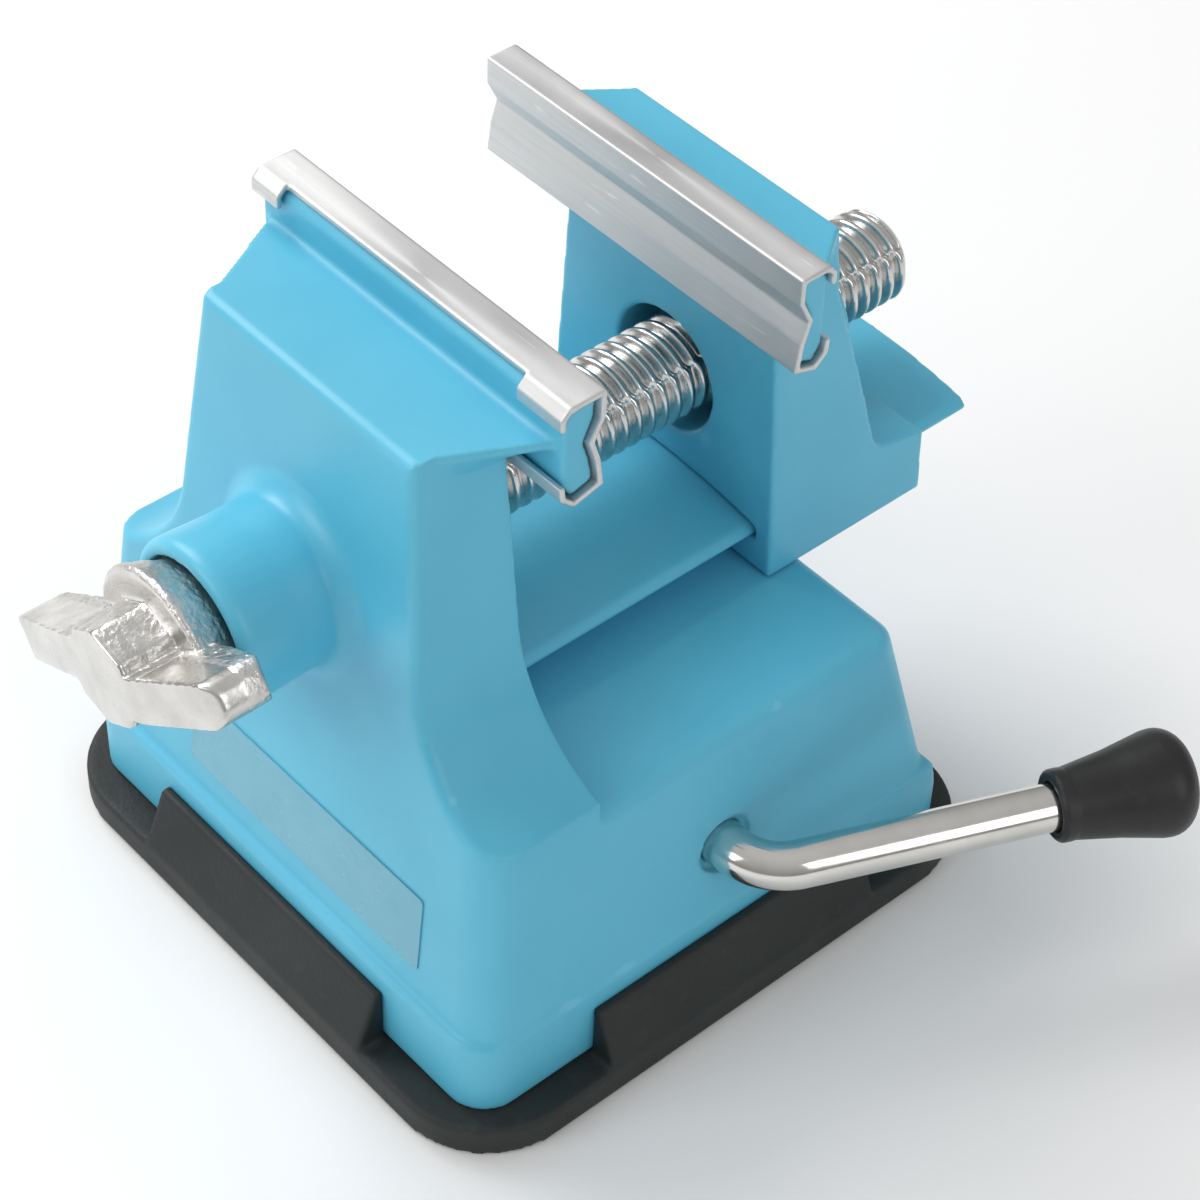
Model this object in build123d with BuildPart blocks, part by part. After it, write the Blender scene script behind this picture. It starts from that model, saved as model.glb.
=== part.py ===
from build123d import *
import math
import os

# Small suction-base vise for holding circuit boards.  Millimetres, +Z up.
# Origin: middle of the rubber foot's underside.  +X along the jaws (the lever's
# side), +Y along the screw, from the wing handle (front) to the rail's end.

# ---------------------------------------------------------------- dimensions
foot_w = 87.6          # rubber foot, square
foot_r = 12.9
foot_h = 4.5
foot_hole_r = 33.0
tab_half = 21.8        # half length of each raised tab
tab_top = 12.4

skirt_half = 39.5      # bottom of the base moulding
skirt_top = 16.0
wall = 2.8
deck_z = 42.1
env_x0, env_dx = 39.0, 0.088       # half width at skirt_top, and its draft
env_f0, env_df = -38.4, 0.0941     # front face
env_r0, env_dr = 35.1, 0.258       # rear face
env_top = 90.0                     # top of both heads

tower_rear = -19.0
tower_x_top = 18.8
tower_x_low = 23.9                 # where the side line would meet the flare's foot
flare_z = 43.7
flare_r = 20.0

screw_z = 62.64
thread_r = 6.35
thread_pitch = 2.1
bore_r = 6.43
journal_r = 6.38
mouth_y = -48.2        # mouth of the screw boss
seat_y = -46.0         # bottom of the counterbore that the collar turns in
seat_r = 9.0
boss_r_mouth = 10.9
boss_r = 10.45

jaw_half = 27.0        # jaw plates
jaw_z0, jaw_z1 = 82.6, 95.8
groove_z, groove_d = 89.2, 1.5
front_face_y = -11.8
rear_face_y = 16.4
strip_t = 0.7
front_tail, front_hook, front_bar_d = 4.75, 6.3, 5.3    # depths behind the face
rear_tail, rear_hook, rear_bar_d = 4.5, 5.4, 4.45

rail_half = 17.05
rail_edge_z, rail_top_z = 46.9, 50.0
rail_web_half = 10.5
rail_end_y = 59.4
slide_gap = 0.3

mj_front = 22.1
mj_rear = 48.2
mj_bottom = 42.5
screw_end_y = 58.6

lever_z = 25.0
rod_r = 3.0
lever_bend_r = 8.0
lever_bend_deg = 66.6
lever_x0 = 38.8
grip_start, grip_len = 32.4, 17.9
cam_r, cam_e, cam_half = 7.0, 3.0, 4.0
stem_r = 5.0

os.makedirs("parts", exist_ok=True)


def env_x(z):
    return env_x0 - env_dx * (z - skirt_top)


def env_f(z):
    return env_f0 + env_df * (z - skirt_top)


def env_r(z):
    return env_r0 - env_dr * (z - skirt_top)


def mj_x(z):
    """Half width of the moving jaw's upright, which narrows upwards."""
    return 17.26 + 0.059 * (95.8 - z)


# ---------------------------------------------------------------- base body
# outer envelope of base and tower, as one drafted block
with BuildPart() as envelope:
    for z in (skirt_top - 2.0, 97.0):
        with BuildSketch(Plane.XY.offset(z)):
            with Locations((0, (env_f(z) + 50.0) / 2)):
                RectangleRounded(2 * env_x(z), 50.0 - env_f(z), 5.0)
    loft(ruled=True)
    # sloping rear wall
    with BuildSketch(Plane.YZ.offset(-60)):
        with BuildLine():
            Polyline((env_r(0), 0), (env_r(97), 97), (70, 97), (70, 0), close=True)
        make_face()
    extrude(amount=120, mode=Mode.SUBTRACT)
    rear_edges = (
        envelope.edges()
        .filter_by(lambda e: abs(abs(e.center().X) - env_x(e.center().Z)) < 1.5)
        .filter_by(lambda e: abs(e.center().Y - env_r(e.center().Z)) < 1.0)
    )
    fillet(rear_edges, 3.0)

# tower with its flared foot, seen from the front
with BuildPart() as tower_form:
    with BuildSketch(Plane.XZ.offset(50)) as tower_sk:
        with BuildLine():
            Polyline(
                (-48, 2), (-48, flare_z), (-tower_x_low, flare_z), (-tower_x_top, env_top),
                (tower_x_top, env_top), (tower_x_low, flare_z), (48, flare_z), (48, 2), close=True,
            )
        make_face()
        fillet(
            tower_sk.vertices().filter_by(
                lambda v: abs(v.Y - flare_z) < 0.1 and abs(abs(v.X) - tower_x_low) < 0.1
            ),
            flare_r,
        )
    extrude(amount=-(50 + tower_rear))
    # sloping front face, with soft edges all round it
    with BuildSketch(Plane.YZ.offset(-60)):
        with BuildLine():
            Polyline((env_f(0), 0), (env_f(97), 97), (-60, 97), (-60, 0), close=True)
        make_face()
    extrude(amount=120, mode=Mode.SUBTRACT)
    fillet(
        tower_form.edges().filter_by(
            lambda e: abs(e.center().Y - env_f(e.center().Z)) < 0.3 and e.center().Z > 43
        ),
        1.2,
    )

# deck behind the tower
with BuildPart() as deck_form:
    with BuildSketch(Plane.XY):
        with Locations((0, (tower_rear + 70) / 2)):
            Rectangle(100, 70 - tower_rear)
    extrude(amount=deck_z)

with BuildPart() as skirt:
    with BuildSketch(Plane.XY.offset(foot_h)):
        RectangleRounded(2 * skirt_half, 2 * skirt_half, 5.5)
    extrude(amount=skirt_top - foot_h)
    fillet(skirt.faces().sort_by(Axis.Z)[-1].edges(), 0.6)


def head_slab(front, back, half_front, half_back, bar):
    """Outline of a head: narrow away from the jaw, flared towards it."""
    return [(-half_front, front), (half_front, front), (half_back, back), (half_back + 0.3, bar),
            (-half_back - 0.3, bar), (-half_back, back)]


# slab at the top of the tower; its underside slopes in towards the tower
with BuildPart() as front_head:
    for z, pts in (
        (85.3, [(-18.6, -28.8), (18.6, -28.8), (19.3, -17.3), (19.3, -15.4), (-19.3, -15.4), (-19.3, -17.3)]),
        (env_top - 0.9, head_slab(-28.8, -17.3, 18.8, 24.9, -15.4)),
    ):
        with BuildSketch(Plane.XY.offset(z)):
            with BuildLine():
                Polyline(*pts, close=True)
            make_face()
    loft(ruled=True)
    with BuildSketch(Plane.XY.offset(env_top - 0.9)):
        with BuildLine():
            Polyline(*head_slab(-28.8, -17.3, 18.8, 24.9, -15.4), close=True)
        make_face()
    extrude(amount=0.9)


def bar_profile(s, face, depth):
    """Section of a jaw bar, in Y and Z; s is +1 where the jaw faces +Y."""
    return [
        (face - s * depth, jaw_z0 + 1.7), (face - s * (depth - 1.2), jaw_z0 - 0.1), (face - s * 1.5, jaw_z0 + 0.55),
        (face - s * 1.05, jaw_z0 + 0.9), (face - s * 1.6, groove_z - 2.8), (face - s * (groove_d + 1.0), groove_z),
        (face - s * 1.1, groove_z + 3.0), (face - s * 0.95, jaw_z1 - strip_t - 0.2),
        (face - s * (depth - 0.9), jaw_z1 - strip_t - 0.2), (face - s * depth, jaw_z1 - strip_t - 1.1),
    ]


with BuildPart() as front_bar:
    with BuildSketch(Plane.YZ.offset(-26.3)):
        with BuildLine():
            Polyline(*bar_profile(1, front_face_y, front_bar_d), close=True)
        make_face()
    extrude(amount=2 * 26.3)

# screw boss: a round tube with a soft mouth and a hollow curve at its root
with BuildPart() as screw_boss:
    with BuildSketch(Plane.YZ):
        with BuildLine():
            Polyline((mouth_y, screw_z), (mouth_y, screw_z + boss_r_mouth), (mouth_y + 2.4, screw_z + boss_r_mouth - 0.1),
                     (-40.0, screw_z + boss_r), (-30.0, screw_z + boss_r), (-30.0, screw_z), close=True)
        make_face()
    revolve(axis=Axis((0, 0, screw_z), (0, 1, 0)))
    fillet(screw_boss.edges().filter_by(GeomType.CIRCLE).sort_by(Axis.Y)[0], 1.4)
root_r = 2.6
with BuildPart() as boss_root:
    with BuildSketch(Plane.YZ) as root_sk:
        with BuildLine():
            r1 = Polyline((1.5, 0), (1.5, boss_r + root_r), (0, boss_r + root_r))
            r2 = ThreePointArc(r1 @ 1, (-0.95, boss_r + 0.75), (-root_r - 0.6, boss_r - 0.55))
            Polyline(r2 @ 1, (-root_r - 0.6, 0), (1.5, 0))
        make_face()
    revolve(axis=Axis.Y)

# T-shaped rail, crowned on top
with BuildPart() as rail:
    with BuildSketch(Plane.XZ.offset(24)) as rail_sk:
        with BuildLine():
            l1 = Polyline((-rail_half + 0.5, rail_edge_z), (-rail_web_half, rail_edge_z), (-rail_web_half, 38.0),
                          (rail_web_half, 38.0), (rail_web_half, rail_edge_z), (rail_half - 0.5, rail_edge_z),
                          (rail_half, rail_edge_z + 0.5), (rail_half, 47.7), (rail_half - 1.0, 48.55))
            ThreePointArc(l1 @ 1, (0, rail_top_z), (-rail_half + 1.0, 48.55))
            Polyline((-rail_half + 1.0, 48.55), (-rail_half, 47.7), (-rail_half, rail_edge_z + 0.5),
                     (-rail_half + 0.5, rail_edge_z))
        make_face()
    extrude(amount=-(24 + rail_end_y))
    # the rail's underside runs level with the deck behind the base
    with BuildSketch(Plane.XY.offset(30)):
        with Locations((0, 60)):
            Rectangle(60, 80)
    extrude(amount=deck_z - 30, mode=Mode.SUBTRACT)

with BuildPart() as base_body:
    add(tower_form.part)
    add(deck_form.part)
    add(envelope.part, mode=Mode.INTERSECT)
    fillet(
        base_body.edges().filter_by(lambda e: abs(e.center().Z - deck_z) < 0.05 and e.center().Y > tower_rear + 1),
        2.6,
    )
    add(skirt.part)
    # hollow underside
    for z_low, z_high in ((foot_h - 0.01, 7.7), (7.7, 14.0), (14.0, deck_z - wall)):
        for z in (z_low, z_high):
            with BuildSketch(Plane.XY.offset(z)):
                yf, yr = env_f(z) + wall, env_r(z) - wall - 0.3
                xh = env_x(z) - wall
                if z < 10:
                    yf, yr, xh = -36.4, 36.4, 36.4
                with Locations((0, (yf + yr) / 2)):
                    RectangleRounded(2 * xh, yr - yf, 3.0)
        loft(ruled=True, mode=Mode.SUBTRACT)
    # core of the tower, below the screw
    with BuildSketch(Plane.XY.offset(deck_z - wall - 0.5)):
        with Locations((0, -27.4)):
            RectangleRounded(34, 11.2, 2.0)
    extrude(amount=12.5, taper=1.5, mode=Mode.SUBTRACT)
    add(front_head.part)
    add(front_bar.part)
    add(screw_boss.part)
    with Locations(Location((0, env_f(screw_z), screw_z), (-math.degrees(math.atan(env_df)), 0, 0))):
        add(boss_root.part)
    add(rail.part)
    # corner bosses for the frame screws, with pilot holes
    for sx in (-1, 1):
        for sy in (-1, 1):
            with BuildSketch(Plane.XY.offset(7.6)):
                with Locations((sx * 31.5, sy * 31.5)):
                    Circle(4.2)
            extrude(amount=7.9)
            with BuildSketch(Plane.XY.offset(7.0)):
                with Locations((sx * 31.5, sy * 31.5)):
                    Circle(1.5)
            extrude(amount=6.6, mode=Mode.SUBTRACT)
    # at the rear the skirt runs out into the sloping wall
    with BuildSketch(Plane.YZ.offset(-60)):
        with BuildLine():
            Polyline((skirt_half, foot_h - 1), (skirt_half, foot_h), (env_r(16.6) + 0.25, 16.6), (env_r(30) + 0.25, 30),
                     (70, 30), (70, foot_h - 1), close=True)
        make_face()
    extrude(amount=120, mode=Mode.SUBTRACT)
    # inner rib and outer bush that carry the lever
    with BuildSketch(Plane.YZ.offset(-22.0)):
        with Locations((0, (lever_z + 40) / 2 + 1.0)):
            Rectangle(14, 40 - lever_z + 2)
        with Locations((0, lever_z)):
            Circle(7.0)
    extrude(amount=3.5)
    with BuildSketch(Plane.YZ.offset(31.0)):
        with Locations((0, lever_z)):
            Circle(6.0)
    extrude(amount=6.5)
    # lever bore, opened out a little at the outer wall
    with BuildSketch(Plane.YZ.offset(-24)):
        with Locations((0, lever_z)):
            Circle(rod_r + 0.06)
    extrude(amount=70, mode=Mode.SUBTRACT)
    with BuildSketch(Plane.YZ.offset(37.3)):
        with Locations((0, lever_z)):
            Circle(rod_r + 1.0)
    extrude(amount=5, mode=Mode.SUBTRACT)
    # screw bore right through the tower
    with BuildSketch(Plane.XZ.offset(50)):
        with Locations((0, screw_z)):
            Circle(bore_r)
    extrude(amount=-(50 - 18.0), mode=Mode.SUBTRACT)
    # counterbore in the mouth, which the collar turns in
    with BuildSketch(Plane.XZ.offset(50)):
        with Locations((0, screw_z)):
            Circle(seat_r)
    extrude(amount=-(50 + seat_y), mode=Mode.SUBTRACT)

print("base_body", round(base_body.part.volume), len(base_body.part.solids()), base_body.part.is_valid)

# ---------------------------------------------------------------- moving jaw
with BuildPart() as rear_head:
    for z, pts in (
        (85.3, [(-17.7, 31.8), (17.7, 31.8), (17.8, 21.9), (17.8, 20.0), (-17.8, 20.0), (-17.8, 21.9)]),
        (env_top - 0.9, head_slab(31.75, 21.9, 17.3, 24.6, 20.0)),
    ):
        with BuildSketch(Plane.XY.offset(z)):
            with BuildLine():
                Polyline(*pts, close=True)
            make_face()
    loft(ruled=True)
    with BuildSketch(Plane.XY.offset(env_top - 0.9)):
        with BuildLine():
            Polyline(*head_slab(31.75, 21.9, 17.3, 24.6, 20.0), close=True)
        make_face()
    extrude(amount=0.9)

with BuildPart() as rear_bar:
    with BuildSketch(Plane.YZ.offset(-26.3)):
        with BuildLine():
            Polyline(*bar_profile(-1, rear_face_y, rear_bar_d), close=True)
        make_face()
    extrude(amount=2 * 26.3)


with BuildPart() as moving_jaw:
    # side view
    with BuildSketch(Plane.YZ.offset(-30)) as mj_side:
        with BuildLine():
            Polyline((mj_front, mj_bottom), (mj_rear, mj_bottom), (mj_rear, 51.6), (39.9, 53.2),
                     (37.1, 64.0), (32.3, 80.5), (31.75, env_top), (mj_front - 0.2, env_top),
                     (mj_front, 80.0), close=True)
        make_face()
        fillet(mj_side.vertices().filter_by(lambda v: abs(v.X - 39.9) < 0.1), 3.0)
    extrude(amount=60)
    # front view: tapering sides
    with BuildSketch(Plane.XZ.offset(-10)):
        with BuildLine():
            Polyline((-mj_x(40), 40), (mj_x(40), 40), (mj_x(95.8), 95.8), (-mj_x(95.8), 95.8), close=True)
        make_face()
    extrude(amount=-50, mode=Mode.INTERSECT)
    add(rear_head.part)
    add(rear_bar.part)
    # nut housing on the back
    with BuildSketch(Plane.XZ.offset(-34)):
        with Locations((0, screw_z)):
            Circle(11.6)
    extrude(amount=-8.6, taper=2.0)
    # T-slot that wraps the rail
    with BuildSketch(Plane.XZ.offset(-20)):
        with BuildLine():
            b1 = Polyline((-rail_half - slide_gap, rail_edge_z - slide_gap), (-rail_web_half - slide_gap, rail_edge_z - slide_gap),
                          (-rail_web_half - slide_gap, 40), (rail_web_half + slide_gap, 40),
                          (rail_web_half + slide_gap, rail_edge_z - slide_gap), (rail_half + slide_gap, rail_edge_z - slide_gap),
                          (rail_half + slide_gap, 48.75))
            ThreePointArc((rail_half + slide_gap, 48.75), (0, rail_top_z + slide_gap), (-rail_half - slide_gap, 48.75))
            Line((-rail_half - slide_gap, 48.75), (-rail_half - slide_gap, rail_edge_z - slide_gap))
        make_face()
    extrude(amount=-40, mode=Mode.SUBTRACT)
    # clearance for the screw in front, pocket for the nut behind
    with BuildSketch(Plane.XZ.offset(-20)):
        with Locations((0, screw_z)):
            Circle(8.4)
    extrude(amount=-30, mode=Mode.SUBTRACT)
    with BuildSketch(Plane.XZ.offset(-30.5)) as pocket:
        with Locations((0, screw_z)):
            Circle(9.2)
        with Locations((0, screw_z + 9.0)):
            Rectangle(4.0, 2.4)
    extrude(amount=-15, mode=Mode.SUBTRACT)

print("moving_jaw", round(moving_jaw.part.volume), len(moving_jaw.part.solids()), moving_jaw.part.is_valid)

with BuildPart() as jaw_nut:
    with BuildSketch(Plane.XZ.offset(-30.5)):
        with Locations((0, screw_z)):
            Circle(9.2)
        with Locations((0, screw_z + 9.0)):
            Rectangle(4.0, 2.4)
        with Locations((0, screw_z)):
            Circle(thread_r + 0.06, mode=Mode.SUBTRACT)
    extrude(amount=-11.5)
    chamfer(jaw_nut.faces().sort_by(Axis.Y)[-1].edges().filter_by(GeomType.CIRCLE).sort_by(Edge.length)[0], 0.7)


# ---------------------------------------------------------------- jaw plates
def strip_path(s, face, hook, over):
    """Outer line of the bent strip in Y and Z, from over the top, down the
    grooved face and round the bottom to its hook; s is +1 facing +Y."""
    return over + [
        (face, jaw_z1), (face, groove_z + 3.0), (face - s * groove_d, groove_z),
        (face - s * 0.6, groove_z - 2.8), (face - s * 0.05, jaw_z0 - 0.1), (face - s * (hook - 2.0), jaw_z0 - 1.2),
        (face - s * (hook - 0.25), jaw_z0 + 0.4), (face - s * hook, jaw_z0 + 2.4),
    ]


def inset(points, d):
    """Line parallel to an open polyline, d to its right."""
    lines = []
    for (y0, z0), (y1, z1) in zip(points, points[1:]):
        n = math.hypot(y1 - y0, z1 - z0)
        ny, nz = (z1 - z0) / n, -(y1 - y0) / n
        lines.append(((y0 + ny * d, z0 + nz * d), (y1 + ny * d, z1 + nz * d)))
    out = [lines[0][0]]
    for ((ay, az), (by, bz)), ((cy, cz), (dy, dz)) in zip(lines, lines[1:]):
        den = (by - ay) * (dz - cz) - (bz - az) * (dy - cy)
        t = ((cy - ay) * (dz - cz) - (cz - az) * (dy - cy)) / den
        out.append((ay + t * (by - ay), az + t * (bz - az)))
    return out + [lines[-1][1]]


def strip(s, face, hook, over, x0, x1):
    outer = strip_path(s, face, hook, over)
    inner = inset(outer, strip_t * s)
    with BuildPart() as p:
        with BuildSketch(Plane.YZ.offset(x0)):
            with BuildLine():
                Polyline(*outer, *reversed(inner), close=True)
            make_face()
        extrude(amount=x1 - x0)
    return p.part


def over_edge(s, face, tail):
    """The strip's top between the ends: it stops short of the bar's back."""
    return [(face - s * tail, jaw_z1 - 0.85), (face - s * tail, jaw_z1)]


def over_end(s, face, hook):
    """The strip's ends, folded down over the bar's back."""
    return [(face - s * hook, jaw_z1 - 2.9), (face - s * hook, jaw_z1 - 1.2), (face - s * (hook - 1.2), jaw_z1)]


with BuildPart() as front_jaw_plate:
    add(strip(1, front_face_y, front_hook, over_edge(1, front_face_y, front_tail), -jaw_half, jaw_half))
    add(strip(1, front_face_y, front_hook, over_end(1, front_face_y, front_hook), -jaw_half, -jaw_half + 5.0))
    add(strip(1, front_face_y, front_hook, over_end(1, front_face_y, front_hook), jaw_half - 7.5, jaw_half))
with BuildPart() as rear_jaw_plate:
    add(strip(-1, rear_face_y, rear_hook, over_edge(-1, rear_face_y, rear_tail), -jaw_half, jaw_half))
    add(strip(-1, rear_face_y, rear_hook, over_end(-1, rear_face_y, rear_hook), -jaw_half, -jaw_half + 5.5))
    add(strip(-1, rear_face_y, rear_hook, over_end(-1, rear_face_y, rear_hook), jaw_half - 5.0, jaw_half))

# ---------------------------------------------------------------- screw
collar_front, collar_back = -53.2, -46.9
handle_front = -60.4
wing_deg = 30.0
clip_y0, clip_y1 = -18.1, -17.2


def wing_plane(deg, v):
    """Plane along one wing: local x runs out along the wing, local y is +Y."""
    a = math.radians(deg)
    return Plane(
        origin=(-v * math.sin(a), 0, screw_z + v * math.cos(a)),
        x_dir=(math.cos(a), 0, math.sin(a)),
        z_dir=(-math.sin(a), 0, math.cos(a)),
    )


def wing_solid(deg, tip_front, tip_back, root_back):
    """One wing: a bar with a round tip seen along the screw, swept back seen from above."""
    a = math.radians(deg)
    with BuildPart() as w:
        with BuildSketch(Plane(origin=(0, handle_front, screw_z), x_dir=(math.cos(a), 0, math.sin(a)), z_dir=(0, 1, 0))) as wk:
            with Locations((10.25, 1.9)):
                Rectangle(20.5, 5.7)
            fillet(wk.vertices().filter_by(lambda v: v.X > 19), 2.3)
        extrude(amount=14)
        with BuildSketch(wing_plane(deg, -7)):
            with BuildLine():
                Polyline((0, handle_front), (6.0, handle_front), (18.6, tip_front), (20.5, tip_front + 1.2),
                         (20.5, tip_back - 0.8), (19.0, tip_back), (6.0, root_back), (0, root_back), close=True)
            make_face()
        extrude(amount=14, mode=Mode.INTERSECT)
    return w.part


with BuildPart() as wing_screw:
    with BuildSketch(Plane.YZ):
        with BuildLine():
            Polyline(
                (collar_front, screw_z), (collar_front, screw_z + 9.7), (collar_front + 0.6, screw_z + 10.3),
                (-49.7, screw_z + 9.3), (-48.4, screw_z + 8.6), (collar_back, screw_z + 8.3), (collar_back, screw_z + journal_r),
                (clip_y0 - 0.05, screw_z + journal_r), (clip_y0 - 0.05, screw_z + 5.2), (clip_y1 + 0.05, screw_z + 5.2),
                (clip_y1 + 0.05, screw_z + thread_r), (screw_end_y - 1.4, screw_z + thread_r),
                (screw_end_y, screw_z + thread_r - 1.4), (screw_end_y, screw_z), close=True,
            )
        make_face()
    revolve(axis=Axis((0, 0, screw_z), (0, 1, 0)))
    # eight-sided neck
    with BuildSketch(Plane(origin=(0, collar_front + 0.5, screw_z), x_dir=(1, 0, 0), z_dir=(0, -1, 0))):
        RegularPolygon(radius=6.1, side_count=8, major_radius=False, rotation=8)
    extrude(amount=collar_front + 0.5 - handle_front, taper=1.0)
    add(wing_solid(wing_deg, -58.2, -50.6, -49.9))
    add(wing_solid(wing_deg + 180, -59.3, -52.6, -51.6))

print("wing_screw", round(wing_screw.part.volume), len(wing_screw.part.solids()), wing_screw.part.is_valid)


def ring(y0, y1, r_in, r_out, slot=0.0):
    """Washer or snap ring round the screw, with an optional slot downwards."""
    with BuildPart() as p:
        with BuildSketch(Plane(origin=(0, y0, screw_z), x_dir=(1, 0, 0), z_dir=(0, 1, 0))):
            Circle(r_out)
            Circle(r_in, mode=Mode.SUBTRACT)
            if slot:
                with Locations((0, r_out)):
                    Rectangle(slot, 2 * r_out, mode=Mode.SUBTRACT)
        extrude(amount=y1 - y0)
    return p.part


with BuildPart() as thrust_washer:
    add(ring(collar_back + 0.05, seat_y - 0.05, journal_r + 0.05, 8.7))
with BuildPart() as rear_washer:
    add(ring(tower_rear + 0.03, clip_y0 - 0.03, journal_r + 0.05, 9.6))
with BuildPart() as retaining_clip:
    add(ring(clip_y0, clip_y1, 5.25, 8.8, slot=7.0))

# ---------------------------------------------------------------- lever
turn = math.radians(lever_bend_deg)
corner_x = lever_x0 + lever_bend_r * math.tan(turn / 2)
arm = (math.cos(turn), math.sin(turn))
arc_end = (lever_x0 + lever_bend_r * math.sin(turn), lever_bend_r * (1 - math.cos(turn)))
rod_len = grip_start + 14.0
rod_end = (arc_end[0] + arm[0] * rod_len, arc_end[1] + arm[1] * rod_len)
ecc = math.radians(-45.0)

with BuildPart() as lever_rod:
    with BuildLine(Plane.XY.offset(lever_z)) as rod_path:
        FilletPolyline((-26, 0), (corner_x, 0), rod_end, radius=lever_bend_r)
    with BuildSketch(Plane(origin=(-26, 0, lever_z), z_dir=(1, 0, 0))):
        Circle(rod_r)
    sweep()
    chamfer(lever_rod.faces().sort_by(Axis.X)[0].edges(), 0.5)
    # groove for the clip
    with BuildSketch(Plane.YZ.offset(-24.0)):
        with Locations((0, lever_z)):
            Circle(rod_r + 1)
            Circle(2.3, mode=Mode.SUBTRACT)
    extrude(amount=1.0, mode=Mode.SUBTRACT)
    # cross hole for the pin
    with BuildSketch(Plane(origin=(0, 0, lever_z), x_dir=(1, 0, 0), z_dir=(0, -math.sin(ecc), math.cos(ecc)))):
        Circle(1.0)
    extrude(amount=7, both=True, mode=Mode.SUBTRACT)

with BuildPart() as lever_grip:
    with BuildSketch(Plane(origin=(arc_end[0] + arm[0] * grip_start, arc_end[1] + arm[1] * grip_start, lever_z),
                           x_dir=(arm[0], arm[1], 0), z_dir=(0, 0, 1))):
        with BuildLine():
            g1 = Polyline((14.0, 0), (14.0, rod_r), (0, rod_r), (0, 4.1), (0.5, 4.6), (15.2, 6.8))
            g2 = TangentArc(g1 @ 1, (grip_len, 2.4), tangent=(1, 0.15))
            Polyline(g2 @ 1, (grip_len + 0.15, 0), (14.0, 0))
        make_face()
    revolve(axis=Axis((arc_end[0], arc_end[1], lever_z), (arm[0], arm[1], 0)))

with BuildPart() as lever_cam:
    with BuildSketch(Plane.YZ.offset(-cam_half)):
        with Locations((cam_e * math.cos(ecc), lever_z + cam_e * math.sin(ecc))):
            Circle(cam_r)
        with Locations((0, lever_z)):
            Circle(rod_r, mode=Mode.SUBTRACT)
    extrude(amount=2 * cam_half)
    with BuildSketch(Plane(origin=(0, 0, lever_z), x_dir=(1, 0, 0), z_dir=(0, -math.sin(ecc), math.cos(ecc)))):
        Circle(1.0)
    extrude(amount=12, both=True, mode=Mode.SUBTRACT)

with BuildPart() as cam_pin:
    with BuildSketch(Plane(origin=(0, 0, lever_z), x_dir=(1, 0, 0), z_dir=(0, -math.sin(ecc), math.cos(ecc)))):
        Circle(1.0)
    extrude(amount=5.9, both=True)


def side_ring(x0, x1, r_in, r_out, slot=0.0):
    with BuildPart() as p:
        with BuildSketch(Plane.YZ.offset(x0)):
            with Locations((0, lever_z)):
                Circle(r_out)
                Circle(r_in, mode=Mode.SUBTRACT)
            if slot:
                with Locations((0, lever_z - r_out)):
                    Rectangle(slot, 2 * r_out, mode=Mode.SUBTRACT)
        extrude(amount=x1 - x0)
    return p.part


with BuildPart() as lever_washer:
    add(side_ring(-22.95, -22.1, rod_r + 0.05, 5.8))
with BuildPart() as lever_clip:
    add(side_ring(-23.9, -23.05, 2.3, 4.9, slot=3.4))

# ---------------------------------------------------------------- suction unit
win_z0 = lever_z + cam_e * math.sin(ecc) - cam_r - 0.2
win_z1 = lever_z + cam_e * math.sin(ecc) + cam_r + 0.2
with BuildPart() as plunger:
    with BuildSketch(Plane.YZ.offset(-4.2)) as yoke_sk:
        with BuildLine():
            Polyline((-13.2, 13.2), (13.2, 13.2), (13.2, win_z1 + 3.2), (-13.2, win_z1 + 3.2), close=True)
        make_face()
        fillet(yoke_sk.vertices(), 2.5)
        with Locations((0, (win_z0 + win_z1) / 2)):
            Rectangle(20.8, win_z1 - win_z0, mode=Mode.SUBTRACT)
    extrude(amount=8.4)
    with BuildSketch(Plane.XY.offset(4.4)):
        Circle(stem_r)
    extrude(amount=13.4 - 4.4)
    with BuildSketch(Plane.XY.offset(4.4)):
        Circle(2.0)
    extrude(amount=6.6, mode=Mode.SUBTRACT)

with BuildPart() as suction_pad:
    with BuildSketch(Plane.XZ):
        with BuildLine():
            Polyline((2.05, 3.4), (32.0, 3.4), (32.5, 2.8), (32.5, 0.9), (32.2, 0.6), (30.6, 0.6), (28.4, 1.3),
                     (0, 1.3), (0, 1.7), (12.0, 1.7), (12.0, 2.6), (2.05, 2.6), close=True)
        make_face()
    revolve(axis=Axis.Z)

with BuildPart() as pad_stud:
    with BuildSketch(Plane.XY.offset(1.7)):
        Circle(12.0)
    extrude(amount=0.9)
    with BuildSketch(Plane.XY.offset(2.6)):
        Circle(2.0)
    extrude(amount=8.2)

with BuildPart() as pad_washer:
    with BuildSketch(Plane.XY.offset(3.4)):
        Circle(9.0)
        Circle(2.05, mode=Mode.SUBTRACT)
    extrude(amount=1.0)

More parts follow.
